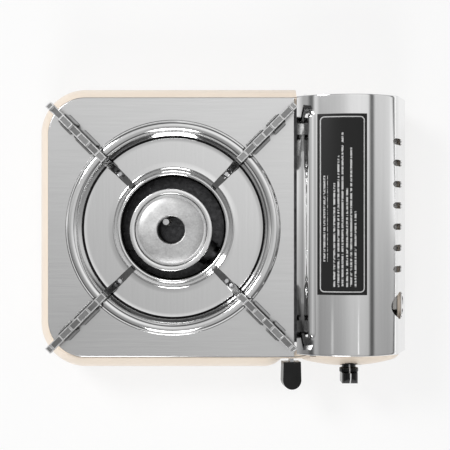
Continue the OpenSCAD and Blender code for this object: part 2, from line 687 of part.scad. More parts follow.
// Castellated arm, pressed from sheet: channel, tab riveted to the dish, tongue and legs
module pan_arm(a) color([0.5, 0.5, 0.51]) translate([dish_x, dish_y, 0]) rotate([0, 0, a]) {
  difference() {
    // Side outline, extruded across the arm
    translate([0, arm_w / 2, 0]) rotate([90, 0, 0]) linear_extrude(arm_w) polygon(concat(
      [[57.4, dish_floor_z + 0.05], [66.4, dish_floor_z + 0.05], [70.6, 72], [78, arm_low_z],
       [arm_tip_r, arm_low_z]],
      [for (b = arm_blocks, k = [0:3])
        [arm_tip_r - (k < 2 ? b[0] : b[1]), pan_z - (k == 0 || k == 3 ? arm_step : 0)]],
      [[74.4, pan_z - arm_step], [72.6, pan_z - arm_step - 1.2], [64, dish_floor_z + 1.6],
       [57.4, dish_floor_z + 1.6]]));
    // Hollow of the channel, open below
    translate([74, -arm_w / 2 + arm_t, 70])
      cube([arm_tip_r - 74 - arm_t, arm_w - 2 * arm_t, pan_z - arm_step - arm_t - 70]);
    translate([rivet_r, 0, dish_floor_z - 1]) cylinder(r = 1.5, h = 4);
  }
  for (leg = arm_legs) arm_leg(arm_tip_r - leg[1], arm_tip_r - leg[0]);
  // Tongue into the dish's slot
  translate([0, 0, dish_floor_z + 1.1]) linear_extrude(1.5) polygon([
    [45.8, -2.3], [57.6, -arm_w / 2], [57.6, arm_w / 2], [45.8, 2.3]]);
}

module arm_rear_right() pan_arm(45);
module arm_rear_left() pan_arm(135);
module arm_front_left() pan_arm(225);
module arm_front_right() pan_arm(315);

module arm_rivets() color([0.8, 0.8, 0.8]) for (a = [45:90:315]) translate([dish_x, dish_y, 0])
  rotate([0, 0, a]) translate([rivet_r, 0, 0]) {
    translate([0, 0, dish_floor_z - 1.9]) cylinder(r = 2.4, h = 1);
    translate([0, 0, dish_floor_z - 1.2]) cylinder(r = 1.45, h = 3);
    translate([0, 0, dish_floor_z + 1.7]) cylinder(r1 = 2.4, r2 = 1.6, h = 1);
  }

// ---- Lid ----

// Part of a circle between two angles
module arc_wedge(x, z, r, a0, a1) translate([x, z]) intersection() {
  circle(r);
  polygon([[0, 0], 2 * r * [cos(a0), sin(a0)], 2 * r * [cos(a1), sin(a1)]]);
}

// 2D region under the lid's outer curve, inset by t
module lid_region(t) {
  intersection() {
    translate([lid_crown_x, lid_left_cz]) circle(lid_left_r - t);
    translate([lid_x0 + t, 0]) square([lid_crown_x - lid_x0 - t + 0.01, 100]);
  }
  arc_wedge(lid_crown_x, lid_crown_cz, lid_crown_r - t, shoulder_a, 90);
  arc_wedge(shoulder_x, shoulder_z, shoulder_r - t, skirt_a, shoulder_a);
  let (nx = cos(skirt_a), nz = sin(skirt_a), r = lid_crown_r - t) polygon([
    [lid_crown_x, skirt_low_z - t * nz], [lid_crown_x, lid_crown_cz + r / 2],
    [lid_crown_x + r * cos(shoulder_a), lid_crown_cz + r * sin(shoulder_a)], [shoulder_x, shoulder_z],
    [skirt_x - t * nx, skirt_z - t * nz], [skirt_low_x - t * nx, skirt_low_z - t * nz]]);
}

module lid_capsule(r, y0, y1, x, z) {
  translate([x, y1, z]) rotate([90, 0, 0]) cylinder(r = r, h = y1 - y0);
  for (y = [y0, y1]) translate([x, y, z]) sphere(r = r);
}

// X of the skirt's inner face at height z
function skirt_in(z) = skirt_x + (skirt_z - z) * tan(skirt_a) - sheet / cos(skirt_a);

bead_r = (pow(bead_w / 2, 2) + pow(bead_h, 2)) / (2 * bead_h);
bead_z = lid_left_cz + sqrt(pow(lid_left_r, 2) - pow(lid_crown_x - bead_x, 2)) - bead_r + bead_h + 0.2;
module lid_shell() color([0.78, 0.78, 0.79]) difference() {
  union() {
    difference() {
      along_y(lid_y0, lid_y1) lid_region(0);
      along_y(lid_y0 + sheet, lid_y1 - sheet) lid_region(sheet);
      // Open underneath: low on the left and ends, lower at the skirt
      translate([lid_x0 - 1, lid_y0 - 1, 0]) cube([2, lid_y1 - lid_y0 + 2, lid_hem_z]);
      translate([lid_x0 - 1, lid_y0 - 1, 0]) cube([60, lid_y1 - lid_y0 + 2, lid_cap_z]);
      along_y(lid_y0 - 1, lid_y1 + 1) polygon([[lid_crown_x, 0], [skirt_in(20), 20],
        [skirt_in(lid_cap_z), lid_cap_z], [lid_crown_x, lid_cap_z]]);
    }
    difference() {
      lid_capsule(bead_r, bead_y0 + bead_w / 2, bead_y1 - bead_w / 2, bead_x, bead_z);
      along_y(lid_y0 - 1, lid_y1 + 1) lid_region(sheet);
    }
  }
  lid_capsule(bead_r - sheet, bead_y0 + bead_w / 2, bead_y1 - bead_w / 2, bead_x, bead_z);
  // Vent slots and finger hole through the skirt
  for (i = [0:vent_count - 1]) let (y = vent_y0 + i * vent_pitch) along_x(128, 165)
    obround(y, vent_z0 + vent_w / 2, y, vent_z1 - vent_w / 2, vent_w);
  along_x(128, 165) obround(finger_y, finger_z0 + finger_w / 2, finger_y, finger_z1 - finger_w / 2, finger_w);
}

module lid_hinge_leaf() color([0.78, 0.78, 0.79]) for (x0 = hinge_xs) translate([x0 + 2.8, 0, 0])
  difference() {
    union() {
      translate([0, hinge_y, hinge_z]) rotate([0, 90, 0]) cylinder(r = 2, h = 4.4);
      translate([0, lid_y1 - sheet - 0.8, hinge_z]) cube([4.4, 0.8, 7]);
    }
    translate([-1, hinge_y, hinge_z]) rotate([0, 90, 0]) cylinder(r = hinge_pin_r + 0.05, h = 7);
  }

// Plate that lies on the lid's dome
module lid_label() color([0.07, 0.07, 0.08]) intersection() {
  difference() {
    along_y(label_y0, label_y1) lid_region(-label_t - 0.02);
    along_y(label_y0 - 1, label_y1 + 1) lid_region(-0.02);
  }
  translate([label_x0, label_y0, 60]) cube([label_x1 - label_x0, label_y1 - label_y0, 40]);
}

module lid_buffers() color([0.85, 0.85, 0.85]) for (x = [82, 122])
  translate([x, lid_y0 + sheet + 0.02, flange_z + 0.35]) cube([8, 2.4, 4]);

// ---- Knob and lock lever ----

module valve_spindle() color([0.8, 0.66, 0.3]) {
  axis_cyl(3, knob_y0 - 8, -90.5);
}

module knob_skirt() color([0.1, 0.1, 0.1]) difference() {
  axis_cyl(7.8, knob_y0 - 3.4, knob_y0);
  axis_cyl(3, knob_y0 - 5, knob_y0 + 1);
}

module knob_grip() color([0.1, 0.1, 0.1]) difference() {
  intersection() {
    translate([axis_x, knob_y0 - 3.4, axis_z]) rotate([90, 0, 0]) linear_extrude(knob_y0 - 3.4 - knob_y1)
      obround(0, -8, 0, 8, 13);
    axis_cyl(14.5, knob_y1 - 1, knob_y0);
    translate([axis_x - 20, knob_y1 + 16, axis_z]) rotate([0, 90, 0]) cylinder(r = 18.6, h = 40);
  }
  axis_cyl(3, knob_y0 - 8, knob_y0);
  translate([axis_x - 0.82, knob_y1 - 1, axis_z + 2.48]) cube([1.64, 1.62, 6.54]);
}

module knob_pointer() color([0.95, 0.95, 0.95]) translate([axis_x - 0.8, knob_y1, axis_z + 2.5])
  cube([1.6, 0.6, 6.5]);

// Steel plate that turns on the regulator's boss; its neck goes out through the recess panel
module lever_neck() {
  translate([-lever_r - 1.5, -13.4, -3.5]) cube([3, 13.4, 7]);
}

module lever_plate() color([0.72, 0.73, 0.74]) difference() {
  union() {
    axis_cyl(12.4, lever_y - lever_t, lever_y);
    translate([axis_x, lever_y, axis_z]) rotate([0, 180 - lever_rest_a, 0]) {
      translate([-lever_r - 1.5, -lever_t, -5]) cube([lever_r - 9, lever_t, 10]);
      lever_neck();
    }
  }
  axis_cyl(10.02, -97, -92);
}

module lever_handle() color([0.08, 0.08, 0.08]) difference() {
  translate([axis_x, 0, axis_z]) rotate([0, 180 - lever_rest_a, 0]) translate([-lever_r, 0, -handle_t / 2])
    linear_extrude(handle_t) {
      obround(0, -overall_d / 2 + handle_w / 2, 0, -109, handle_w);
      translate([-handle_w / 2, -109]) square([handle_w, 8.2]);
    }
  translate([axis_x, lever_y, axis_z]) rotate([0, 180 - lever_rest_a, 0]) lever_neck();
}

// Retaining ring and spacer that keep the lock lever on its boss
module lever_washers() color([0.8, 0.8, 0.8]) for (y = [[-96.4, -95.5], [-93.3, -91.1]]) difference() {
  axis_cyl(12.2, y[0], y[1]);
  axis_cyl(9.98, y[0] - 1, y[1] + 1);
}

// Fork that draws the cartridge's collar onto the valve nose; its left side is low, under the gas pipe
module collar_fork() color([0.72, 0.73, 0.74]) difference() {
  union() {
    translate([80.5, fork_y, 12]) cube([47, 1.5, 44]);
    for (x = [82.3, 125.3]) translate([x, fork_y - 15, 13.4]) cube([2.4, 16, 5.2]);
  }
  axis_cyl(16.5, fork_y - 2, fork_y + 8);
  translate([axis_x - 16.5, fork_y - 2, axis_z]) cube([33, 6, 30]);
  translate([70, fork_y - 2, 30]) cube([23, 6, 40]);
}

body_shell();
bottom_pan();
top_plate();
bay_partition();
cartridge_cradle();
burner_shield();
burner_bracket();
burner_bowl();
flame_ring();
burner_cap();
mixing_tube();
air_shutter();
gas_jet();
gas_pipe();
pipe_nuts();
regulator_body();
regulator_cover();
regulator_bracket();
regulator_screws();
valve_nose();
nose_seal();
fork_rails();
piezo_igniter();
igniter_clip();
spark_lead();
electrode_insulator();
spark_electrode();
hinge_brackets();
hinge_pins();
plate_screws();
base_screws();
feet();
drip_dish();
arm_rear_left();
arm_rear_right();
arm_front_left();
arm_front_right();
arm_rivets();
lid_shell();
lid_hinge_leaf();
lid_label();
lid_buffers();
valve_spindle();
knob_skirt();
knob_grip();
knob_pointer();
lever_plate();
lever_handle();
lever_washers();
collar_fork();
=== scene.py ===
"""Looks of a compact butane cassette stove: mirror-bright steel lid and drip dish, brushed top plate,
cream painted tub, castellated pan arms, cast burner, black knob and lock lever."""

import json
import math

import bpy
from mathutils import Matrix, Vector


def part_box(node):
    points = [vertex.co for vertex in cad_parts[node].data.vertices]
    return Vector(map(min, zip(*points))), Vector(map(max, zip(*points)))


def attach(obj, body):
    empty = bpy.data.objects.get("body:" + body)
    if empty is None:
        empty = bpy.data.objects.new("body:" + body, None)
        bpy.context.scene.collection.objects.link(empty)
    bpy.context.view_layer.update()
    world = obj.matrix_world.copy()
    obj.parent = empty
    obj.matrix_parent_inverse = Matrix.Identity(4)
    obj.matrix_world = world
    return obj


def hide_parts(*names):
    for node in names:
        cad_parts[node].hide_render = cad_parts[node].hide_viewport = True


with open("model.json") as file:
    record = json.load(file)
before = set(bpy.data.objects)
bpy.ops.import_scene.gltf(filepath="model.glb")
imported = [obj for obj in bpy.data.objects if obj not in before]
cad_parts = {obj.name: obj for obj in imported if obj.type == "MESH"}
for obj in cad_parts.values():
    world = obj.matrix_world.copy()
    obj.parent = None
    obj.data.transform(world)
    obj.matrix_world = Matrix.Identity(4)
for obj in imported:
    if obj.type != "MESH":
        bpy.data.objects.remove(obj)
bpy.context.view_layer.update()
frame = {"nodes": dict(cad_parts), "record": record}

MM = 0.001

# ---- Sizes and places, in millimetres and degrees ----

# Dish and burner centres, and the axis of the knob and the lock lever
DISH = (-40.4, 8.9)
BURNER = (-41.9, 6.9)
AXIS_X = 104
AXIS_Z = 44

# Lid: its ends, top and sides, the foot of its left hem, and the foot of its front and rear caps
LID_FRONT = -93
LID_REAR = 114.7
LID_TOP = 86
LID_LEFT = 59.4
LID_RIGHT = 151
LID_HEM = 62.5
CAP_BOTTOM = 60
# Lid in section: the crown's place and its radius to either side, the shoulder, the skirt's lean
CROWN_X = 103
LEFT_RADIUS = 66
CROWN_RADIUS = 54
SHOULDER_TILT = 47.5
SHOULDER_RADIUS = 6
SKIRT_TILT = 19
# Lid: radius of its rolled edges, thickness of its sheet, and the raised bead
ROLL = 0.8
SHEET = 0.8
BEAD_X = 69.1
BEAD_HALF = 4.5
BEAD_RISE = 1.6
BEAD_ENDS = (-76, 97.2)
# Lid: number of steps along it, round a rolled edge, up its hem and down its skirt
LID_STEPS = 170
ROLL_STEPS = 6
HEM_STEPS = 6
SKIRT_STEPS = 12
# Holes through the lid's skirt: their reach in X, the vents, and the finger hole
HOLE_REACH = (128, 165)
VENTS = 7
VENT_START = -24.5
VENT_PITCH = 17.05
VENT_HEIGHTS = (56, 74.7)
VENT_WIDTH = 5.2
FINGER_Y = -54
FINGER_HEIGHTS = (48.7, 75.9)
FINGER_WIDTH = 21.8

# Plate on the lid: its middle, half size to the printed line, the line's corner radius and half width,
# and the half width of the bars and of the thin rule under the first of them
LABEL_MIDDLE = (94.45, 27.3)
LABEL_HALF = (17.1, 69.2)
LABEL_CORNER = 3
LABEL_LINE = 0.42
BAR_HALF = 0.72
RULE_HALF = 0.2
# Rows of plain bars: X, front end, rear end and half width
LABEL_ROWS = [(80.4, -18, 50, BAR_HALF), (82.8, -18, 50, RULE_HALF), (88, -38, 44, BAR_HALF),
              (91.2, -38, 66, BAR_HALF), (94.4, -38, 84, BAR_HALF), (98, -38, 40, BAR_HALF),
              (101.2, -38, 72, BAR_HALF), (104.6, -38, 22, BAR_HALF)]

# Drip dish: thickness of its sheet, then its section from the rolled bead inwards, as radius and height
DISH_SHEET = 0.7
BEAD_MIDDLE = (82.4, 58.9)
BEAD_RADIUS = 5.5
BEAD_TURN = (27, 150)
DISH_WALL = [(76.9, 60.3), (75.9, 58.2), (75.1, 56), (74.7, 54.4), (74.4, 53.2), (74.2, 52.2), (73.8, 51.7),
             (73.4, 52.2), (73.1, 53.2), (72.6, 53.2)]
DISH_FLOOR = [(70 - 4 * i, 53.2) for i in range(5)]
DISH_MIDDLE = [(50.2, 53.2), (49.3, 53.5), (48.4, 54.3), (47.2, 55.8), (46.1, 57.2), (45.2, 58.1),
               (44.3, 58.4), (43.3, 58.15), (42.5, 57.4), (41.8, 56.2), (41.4, 54.8)]
# Painted shade along the groove round the dish's floor
GROOVE_RADIUS = 73.8
GROOVE_HALF = 0.55

# Flame ring: outer and inner radius, top and foot, rounding of its edges, rise of its crown
RING_OUT = 33.2
RING_IN = 29.3
RING_TOP = 66
RING_FOOT = 60.1
RING_EDGE = 0.7
RING_CROWN = 0.12
# Heights of the loops on the ring's outer and inner wall
RING_OUT_LOOPS = (61.6, 63.6)
RING_IN_LOOP = 63.4
# Flame ports: how many, the size of each, and where they sit
PORTS = 24
PORT_SIZE = (12, 1.6, 2)
PORT_RADIUS = 31
PORT_HEIGHT = 62.2
# Burner cap in section, radius and height: underside and side, rounded edge, top with its groove,
# lip of the well, and the well's wall
CAP_SIDE = [(11.2, 58.4), (28.4, 60.2), (29, 60.8), (29, 63.2)]
CAP_EDGE = (28.2, 63.3, 0.8, 0, 80)
CAP_TOP = [(27.2, 64.0), (26.6, 63.85), (26, 64.2), (21, 64.9), (16, 65.35), (13, 65.6)]
CAP_LIP = (12.2, 64.6, 1.1, 75, 180)
CAP_WELL = [(10.9, 62), (10.8, 58.8)]

# Top plate: rounding of its hem, the distance from the dish's middle within which edges stay sharp,
# and how far below the top a point still counts as on it
HEM_ROUND = 0.5
HEM_REACH = 95
LEVEL = 0.02
# Painted shade in the gap round the top plate, a dark line: its width, and the plate's corner radius
GAP_WIDE = 0.75
PLATE_CORNER = 30

# Pan arms: tops of their blocks and steps, and the pressed frames on them
BLOCK_TOP = 88
STEP_TOP = 85.2
FRAME_RIM = 0.85
FRAME_DEPTH = 0.6
FRAME_SLOPE = 0.15
# Heights between which the arms' colour goes from dark at their feet to light at their tops: painted shade
ARM_SHADE_LOW = 80
ARM_SHADE_HIGH = 88

# Knob: its boss and disc, the rounding of disc and grip
BOSS_RADIUS = 5.6
BOSS_MIDDLE = -103
BOSS_LENGTH = 6
DISC_RADIUS = 7.8
DISC_SHOULDER = 0.7
DISC_THICK = 3.3
DISC_ROUND = 0.5
GRIP_ROUND = 2
# Light line along the top of the knob, a painted highlight: its half width, lowest place and rear end
KNOB_LINE_HALF = 0.5
KNOB_LINE_LOW = 46
KNOB_LINE_REAR = -103.6

# Lock lever: the handle's distance from the axis and its tilt, then the handle itself
LEVER_RADIUS = 48.6
LEVER_TILT = 8
HANDLE_FRONT = -123.4
HANDLE_REAR = -100.8
HANDLE_HALF = 7.6
HANDLE_THICK = 11
HANDLE_TAPER = 0.95
HANDLE_ROUND = 3.2

# Camera: straight above, with +Y up in the picture
CAMERA_X = 1.75
CAMERA_Y = 10.95
CAMERA_Z = 953
LENS = 88
SENSOR = 36

# ---- Working by hand: select, start, finish ----


def deselect():
    active = bpy.context.object
    if active and active.mode != "OBJECT":
        bpy.ops.object.mode_set(mode="OBJECT")
    bpy.ops.object.select_all(action="DESELECT")


def pick(obj):
    deselect()
    obj.select_set(True)
    bpy.context.view_layer.objects.active = obj


def place_in_mesh(obj):
    pick(obj)
    bpy.ops.object.transform_apply(location=True, rotation=True, scale=True)


def edit_where(obj, kind, chosen):
    """Opens a piece for editing with only its chosen faces or edges selected."""
    pick(obj)
    bpy.ops.object.mode_set(mode="EDIT")
    bpy.ops.mesh.select_mode(type=kind)
    bpy.ops.mesh.select_all(action="DESELECT")
    bpy.ops.object.mode_set(mode="OBJECT")
    parts = obj.data.polygons if kind == "FACE" else obj.data.edges
    for part in parts:
        part.select = chosen(part)
    bpy.ops.object.mode_set(mode="EDIT")


def apply_modifier(obj, kind, **settings):
    pick(obj)
    modifier = obj.modifiers.new(kind.title(), kind)
    for key, value in settings.items():
        setattr(modifier, key, value)
    bpy.ops.object.modifier_apply(modifier=modifier.name)


def clean(obj):
    """Merges doubles and points the faces outwards."""
    pick(obj)
    bpy.ops.object.mode_set(mode="EDIT")
    bpy.ops.mesh.select_all(action="SELECT")
    bpy.ops.mesh.remove_doubles(threshold=1e-6)
    bpy.ops.mesh.normals_make_consistent(inside=False)
    bpy.ops.object.mode_set(mode="OBJECT")


def smooth(obj, angle=35):
    pick(obj)
    bpy.ops.object.shade_smooth_by_angle(angle=math.radians(angle))


def keep_flats(obj):
    """Keeps broad faces flat beside their softened edges."""
    apply_modifier(obj, "WEIGHTED_NORMAL", keep_sharp=True, weight=80)


def finish_piece(obj, name, body, material, nodes):
    obj.name = name
    obj.data.name = name
    obj.data.materials.clear()
    obj.data.materials.append(material)
    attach(obj, body)
    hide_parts(*nodes)


def edge_copy(node, width=0, segments=2):
    """A copy of a node with its doubles merged, flat faces joined and, where asked, edges softened."""
    source = frame["nodes"][node]
    mesh = source.data.copy()
    obj = bpy.data.objects.new(node + "_work", mesh)
    bpy.context.collection.objects.link(obj)
    obj.matrix_world = source.matrix_world
    pick(obj)
    bpy.ops.object.mode_set(mode="EDIT")
    bpy.ops.mesh.select_all(action="SELECT")
    bpy.ops.mesh.remove_doubles(threshold=2e-6)
    bpy.ops.mesh.dissolve_limited(angle_limit=math.radians(0.5))
    bpy.ops.object.mode_set(mode="OBJECT")
    place_in_mesh(obj)
    if width:
        apply_modifier(obj, "BEVEL", width=width * MM, segments=segments, limit_method="ANGLE",
                       angle_limit=math.radians(30), use_clamp_overlap=True)
    smooth(obj)
    keep_flats(obj)
    return obj


def round_edges(obj, width, segments):
    """Softens the hard edges of a modelled piece."""
    apply_modifier(obj, "BEVEL", width=width * MM, segments=segments, limit_method="ANGLE",
                   angle_limit=math.radians(40))
    smooth(obj)
    keep_flats(obj)


def raised_rings(profile, centre, steps):
    """A circle raised ring by ring along a profile of (radius, height) points."""
    deselect()
    radius, height = profile[0]
    bpy.ops.mesh.primitive_circle_add(vertices=steps, radius=radius * MM,
                                      location=(centre[0] * MM, centre[1] * MM, height * MM))
    obj = bpy.context.object
    bpy.ops.object.mode_set(mode="EDIT")
    bpy.ops.mesh.select_all(action="SELECT")
    middle = (centre[0] * MM, centre[1] * MM, 0)
    for next_radius, next_height in profile[1:]:
        rise = (next_height - height) * MM
        grow = next_radius / radius
        bpy.ops.mesh.extrude_edges_move(TRANSFORM_OT_translate={"value": (0, 0, rise)})
        bpy.ops.transform.resize(value=(grow, grow, 1), center_override=middle)
        radius, height = next_radius, next_height
    bpy.ops.object.mode_set(mode="OBJECT")
    place_in_mesh(obj)
    clean(obj)
    return obj


def turned(profile, centre, steps):
    """A solid with a closed profile."""
    obj = raised_rings(profile + profile[:1], centre, steps)
    smooth(obj)
    return obj


def arc(cx, cz, radius, start, end, steps):
    """Points on an arc of a profile, angles in degrees."""
    turn = [math.radians(start + (end - start) * i / steps) for i in range(steps + 1)]
    return [(cx + radius * math.cos(a), cz + radius * math.sin(a)) for a in turn]


# ---- Materials ----


class Shading:
    """The nodes of a material or a world, with short ways to add more."""

    def __init__(self, owner, coordinates):
        owner.use_nodes = True
        self.nodes = owner.node_tree.nodes
        self.links = owner.node_tree.links
        self.place = self.nodes.new("ShaderNodeTexCoord").outputs[coordinates]

    def stretch(self, scale, centre=(0, 0, 0)):
        mapping = self.nodes.new("ShaderNodeMapping")
        mapping.vector_type = "TEXTURE"
        mapping.inputs["Location"].default_value = [c * MM for c in centre]
        mapping.inputs["Scale"].default_value = scale
        self.links.new(self.place, mapping.inputs["Vector"])
        return mapping.outputs["Vector"]

    def noise(self, scale, detail=4, rough=0.5, where=None):
        node = self.nodes.new("ShaderNodeTexNoise")
        node.inputs["Scale"].default_value = scale
        node.inputs["Detail"].default_value = detail
        node.inputs["Roughness"].default_value = rough
        self.links.new(where or self.place, node.inputs["Vector"])
        return node.outputs["Fac"]

    def ramp(self, value, stops):
        node = self.nodes.new("ShaderNodeValToRGB")
        points = node.color_ramp.elements
        while len(points) < len(stops):
            points.new(0.5)
        for point, (position, colour) in zip(points, stops):
            point.position = position
            point.color = (*colour, 1) if isinstance(colour, tuple) else (colour, colour, colour, 1)
        self.links.new(value, node.inputs["Fac"])
        return node.outputs["Color"]

    def math(self, kind, a, b=0.0, c=0.0, clamp=False):
        node = self.nodes.new("ShaderNodeMath")
        node.operation = kind
        node.use_clamp = clamp
        for socket, value in zip(node.inputs, (a, b, c)):
            if hasattr(value, "is_linked"):
                self.links.new(value, socket)
            else:
                socket.default_value = value
        return node.outputs["Value"]

    def split(self, vector=None):
        node = self.nodes.new("ShaderNodeSeparateXYZ")
        self.links.new(vector or self.place, node.inputs[0])
        return node.outputs


class Finish(Shading):
    """A material with its shader."""

    def __init__(self, name, colour, metallic=0.0, roughness=0.5, coat=0.0, specular=0.5):
        self.material = bpy.data.materials.new(name)
        super().__init__(self.material, "Object")
        self.shader = self.nodes["Principled BSDF"]
        self.shader.inputs["Base Color"].default_value = (*colour, 1)
        self.shader.inputs["Metallic"].default_value = metallic
        self.shader.inputs["Roughness"].default_value = roughness
        self.shader.inputs["Coat Weight"].default_value = coat
        self.shader.inputs["Coat Roughness"].default_value = 0.08
        self.shader.inputs["Specular IOR Level"].default_value = specular

    def painted_shade_line(self, clear, least):
        """Factor for a painted shade line, which falls to least where clear is 0 and is 1 where clear is 1.
        """
        return self.math("MULTIPLY_ADD", self.math("POWER", clear, 4.0), 1 - least, least)

    def from_axis(self, centre):
        """Distance from an upright axis, in millimetres."""
        place = self.split(self.stretch((MM, MM, MM), (*centre, 0)))
        squares = [self.math("POWER", self.math("ABSOLUTE", place[axis]), 2.0) for axis in ("X", "Y")]
        return self.math("SQRT", self.math("ADD", *squares))

    def colour(self, value):
        self.links.new(value, self.shader.inputs["Base Color"])

    def roughness(self, value):
        self.links.new(value, self.shader.inputs["Roughness"])

    def bump(self, height, strength, distance):
        node = self.nodes.new("ShaderNodeBump")
        node.inputs["Strength"].default_value = strength
        node.inputs["Distance"].default_value = distance * MM
        self.links.new(height, node.inputs["Height"])
        self.links.new(node.outputs["Normal"], self.shader.inputs["Normal"])


def past_rounded(f, place, half, corner):
    """Distance outside a rounded rectangle round the middle of place, in millimetres."""
    reach = []
    for axis, size in zip(("X", "Y"), half):
        past = f.math("SUBTRACT", f.math("ABSOLUTE", place[axis]), size - corner)
        reach.append(f.math("POWER", f.math("MAXIMUM", past, 0.0), 2.0))
    return f.math("SUBTRACT", f.math("SQRT", f.math("ADD", *reach)), corner)


def cream_paint():
    f = Finish("cream_paint", (0.95, 0.82, 0.68), roughness=0.34, coat=0.25)
    tone = f.noise(24, 3)
    paint = f.ramp(tone, [(0.3, (0.94, 0.805, 0.665)), (0.7, (0.96, 0.835, 0.7))])
    low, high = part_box("top_plate")
    left, front, rear = low[0] / MM, low[1] / MM, high[1] / MM
    right = high[0] / MM + PLATE_CORNER
    place = f.split(f.stretch((MM, MM, MM), ((left + right) / 2, (front + rear) / 2, 0)))
    past = past_rounded(f, place, ((right - left) / 2, (rear - front) / 2), PLATE_CORNER)
    # A dark line along the top plate's edge: painted shade in the gap between plate and tub
    away = f.math("ABSOLUTE", f.math("SUBTRACT", past, GAP_WIDE / 2))
    clear = f.math("DIVIDE", away, GAP_WIDE / 2, clamp=True)
    dim = f.nodes.new("ShaderNodeVectorMath")
    dim.operation = "SCALE"
    f.links.new(paint, dim.inputs[0])
    f.links.new(f.painted_shade_line(clear, 0.15), dim.inputs["Scale"])
    f.colour(dim.outputs[0])
    f.roughness(f.math("MULTIPLY_ADD", f.noise(160, 4), 0.12, 0.28))
    f.bump(f.noise(900, 2), 0.12, 0.05)
    return f.material


def brushed_plate():
    f = Finish("brushed_plate", (0.8, 0.8, 0.805), metallic=1, roughness=0.2)
    grain = f.noise(420, 5, 0.6, f.stretch((14, 0.35, 1)))
    cloud = f.noise(9, 2)
    f.colour(f.ramp(grain, [(0.25, 0.765), (0.75, 0.83)]))
    rough = f.math("MULTIPLY_ADD", grain, 0.1, 0.12)
    f.roughness(f.math("MULTIPLY_ADD", cloud, 0.06, rough))
    f.bump(grain, 0.05, 0.05)
    return f.material


def mirror_sheet(name, tone, groove_shaded=False):
    """Bright sheet; the drip dish's has painted shade along its groove."""
    f = Finish(name, (tone, tone, tone), metallic=1, roughness=0.09)
    grain = f.noise(300, 4, 0.6, f.stretch((0.5, 18, 1)))
    shade = f.ramp(grain, [(0.2, tone * 0.97), (0.8, tone * 1.03)])
    if groove_shaded:
        # Painted shade: a dark line along the groove round the dish's floor
        away = f.math("ABSOLUTE", f.math("SUBTRACT", f.from_axis(DISH), GROOVE_RADIUS))
        clear = f.math("DIVIDE", away, GROOVE_HALF, clamp=True)
        shade = f.math("MULTIPLY", shade, f.painted_shade_line(clear, 0.07))
    f.colour(shade)
    f.roughness(f.math("MULTIPLY_ADD", f.noise(60, 3), 0.07, 0.05))
    f.bump(f.noise(22, 1), 0.06, 0.6)
    return f.material


def arm_nickel():
    """Plated steel, darker towards its feet and low steps and lighter at its tops: painted shade."""
    f = Finish("arm_nickel", (0.6, 0.6, 0.605), metallic=1, roughness=0.2)
    # Painted shade: the colour darkens towards the arm's feet, with random tone on top
    rise = f.math("DIVIDE", f.math("SUBTRACT", f.split()["Z"], ARM_SHADE_LOW * MM), (ARM_SHADE_HIGH - ARM_SHADE_LOW) * MM)
    height_shade = f.math("MULTIPLY", rise, 0.85, clamp=True)
    noise_varied = f.math("MULTIPLY_ADD", f.noise(350, 4), 0.3, height_shade, clamp=True)
    f.colour(f.ramp(noise_varied, [(0.1, 0.12), (0.4, 0.2), (0.8, 0.34), (1, 0.42)]))
    f.roughness(f.math("MULTIPLY_ADD", f.noise(500, 3), 0.2, 0.12))
    f.bump(f.noise(700, 3), 0.08, 0.06)
    return f.material


def arm_rim_highlight():
    """Rims of the pan arms' blocks and steps, in a lighter finish: a painted highlight."""
    f = Finish("arm_rim_highlight", (0.9, 0.9, 0.905), metallic=1, roughness=0.3)
    f.colour(f.ramp(f.noise(400, 3), [(0.35, 0.6), (0.6, 0.85)]))
    f.roughness(f.math("MULTIPLY_ADD", f.noise(600, 2), 0.15, 0.24))
    return f.material


def polished_ring():
    f = Finish("polished_ring", (0.88, 0.88, 0.88), metallic=1, roughness=0.18)
    lathe = f.noise(900, 2, 0.5, f.stretch((1, 1, 0.05), (*BURNER, 0)))
    f.colour(f.ramp(f.noise(90, 4), [(0.3, 0.88), (0.7, 0.96)]))
    f.roughness(f.math("MULTIPLY_ADD", lathe, 0.12, 0.12))
    f.bump(lathe, 0.06, 0.05)
    return f.material


def cast_cap():
    f = Finish("cast_cap", (0.66, 0.66, 0.655), metallic=1, roughness=0.45)
    large = f.noise(55, 6, 0.62)
    fine = f.noise(700, 6, 0.7)
    mixed = f.math("MULTIPLY_ADD", fine, 0.45, f.math("MULTIPLY", large, 0.55))
    f.colour(f.ramp(mixed, [(0.34, 0.42), (0.52, 0.62), (0.66, 0.78)]))
    f.roughness(f.math("MULTIPLY_ADD", fine, 0.3, 0.3))
    f.bump(fine, 0.3, 0.12)
    return f.material


def cast_body():
    f = Finish("cast_body", (0.12, 0.12, 0.12), metallic=1, roughness=0.5)
    fine = f.noise(500, 5, 0.7)
    f.colour(f.ramp(fine, [(0.3, 0.07), (0.7, 0.14)]))
    f.roughness(f.math("MULTIPLY_ADD", fine, 0.25, 0.4))
    f.bump(fine, 0.35, 0.15)
    return f.material


def gloss_black():
    f = Finish("gloss_black", (0.006, 0.006, 0.0065), roughness=0.16, specular=0.3)
    f.colour(f.ramp(f.noise(80, 3), [(0.3, 0.004), (0.7, 0.008)]))
    f.roughness(f.math("MULTIPLY_ADD", f.noise(400, 4), 0.1, 0.11))
    f.bump(f.noise(60, 2), 0.05, 0.3)
    return f.material


